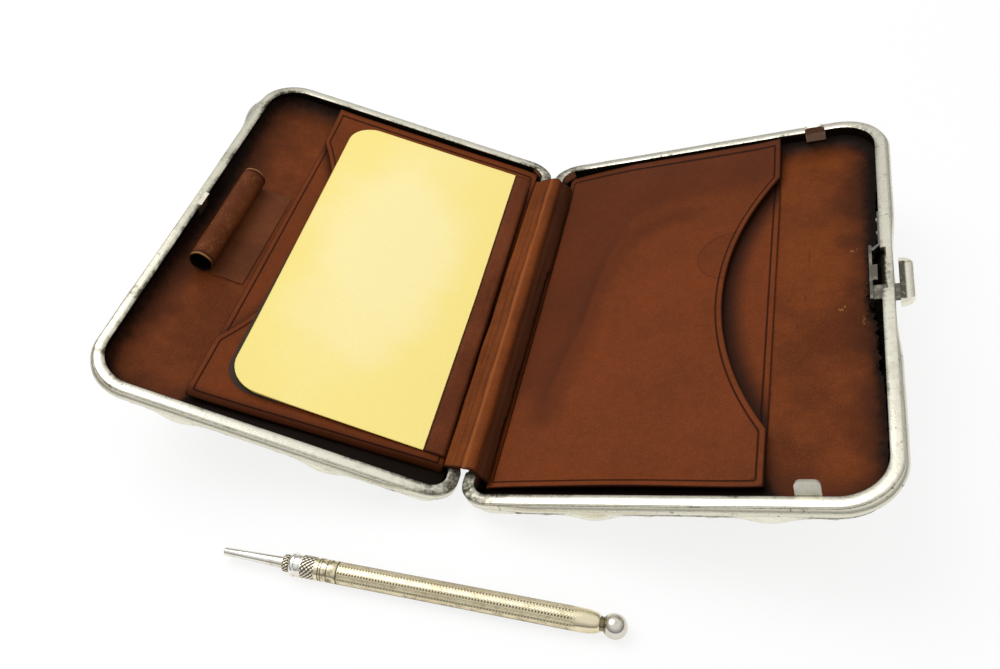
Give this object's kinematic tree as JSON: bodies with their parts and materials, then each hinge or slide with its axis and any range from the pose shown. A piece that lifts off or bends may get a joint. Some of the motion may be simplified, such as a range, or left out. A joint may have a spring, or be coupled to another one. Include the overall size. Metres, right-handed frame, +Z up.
{
  "type": "aide memoire case",
  "caption": "Hinged metal pocket case standing open, leather lined, with card pockets, a note pad, a pencil loop, a push catch and a separate twist pencil.",
  "frame": {"origin": "on the table, straight below the middle of the hinge axis", "axes": "+X from the hinge towards the catch half, +Y along the hinge away from the pencil, +Z up"},
  "size_m": [0.1485, 0.119, 0.0276],
  "materials": {
    "silver": "satin",
    "pencil_silver": "satin",
    "pocket_leather": "satin",
    "lining_leather": "satin",
    "board": "matte",
    "paper": "matte",
    "graphite": "satin",
    "spring_steel": "satin"
  },
  "bodies": {
    "right_cover": {"right_shell": "silver", "right_rim": "silver", "right_board": "board", "right_lining": "lining_leather", "right_pocket_back": "pocket_leather", "right_pocket_front": "pocket_leather", "right_knuckles": "silver", "hinge_pin": "silver", "locating_lugs": "silver", "catch_spring": "spring_steel", "catch_rivets": "silver", "spine_leather": "pocket_leather"},
    "left_cover": {"left_shell": "silver", "left_rim": "silver", "left_board": "board", "left_lining": "lining_leather", "left_pocket_back": "pocket_leather", "left_pocket_front": "pocket_leather", "left_knuckles": "silver", "strike_plate": "silver", "pencil_loop": "pocket_leather", "pad_card": "board", "pad_leaves": "paper", "pad_binding": "pocket_leather"},
    "leaf": {"top_leaf": "paper"},
    "catch": {"thumb_piece": "silver", "catch_bar": "silver"},
    "pencil": {"pencil_barrel": "pencil_silver", "pencil_ferrule": "pencil_silver", "pencil_finial": "pencil_silver"},
    "nozzle": {"pencil_nozzle": "pencil_silver", "milled_ring": "pencil_silver", "drive_tube": "pencil_silver"},
    "lead": {"lead": "graphite", "lead_carrier": "pencil_silver"}
  },
  "joints": [
    {"name": "lid_hinge", "type": "hinge", "parent": "right_cover", "child": "left_cover", "pos_m": [0, 0, 0.00474], "axis": [0, 1, 0], "range_deg": [0, 146], "deforming": ["spine_leather"]},
    {"name": "leaf_turn", "type": "hinge", "parent": "left_cover", "child": "leaf", "pos_m": [-0.0089, 0, 0.00589], "axis": [0, -1, 0], "range_deg": [-140, 0]},
    {"name": "catch_press", "type": "slide", "parent": "right_cover", "child": "catch", "axis": [-0.9563, 0, -0.2924], "range_m": [0, 0.0007], "stiffness_N_per_m": 1200, "deforming": ["catch_spring"]},
    {"name": "pencil_lift", "type": "slide", "parent": "right_cover", "child": "pencil", "axis": [0, 0, 1], "range_m": [0, 0.06]},
    {"name": "nozzle_twist", "type": "hinge", "parent": "pencil", "child": "nozzle", "pos_m": [-0.0401, -0.06705, 0.00215], "axis": [0.9999, 0.014, 0], "range_deg": [0, 720]},
    {"name": "lead_feed", "type": "slide", "parent": "pencil", "child": "lead", "axis": [-0.9999, -0.014, 0], "range_m": [0, 0.003]}
  ],
  "couplings": [
    {"joint": "nozzle_twist", "follows": "lead_feed", "rad_per_m": 4188.7}
  ]
}
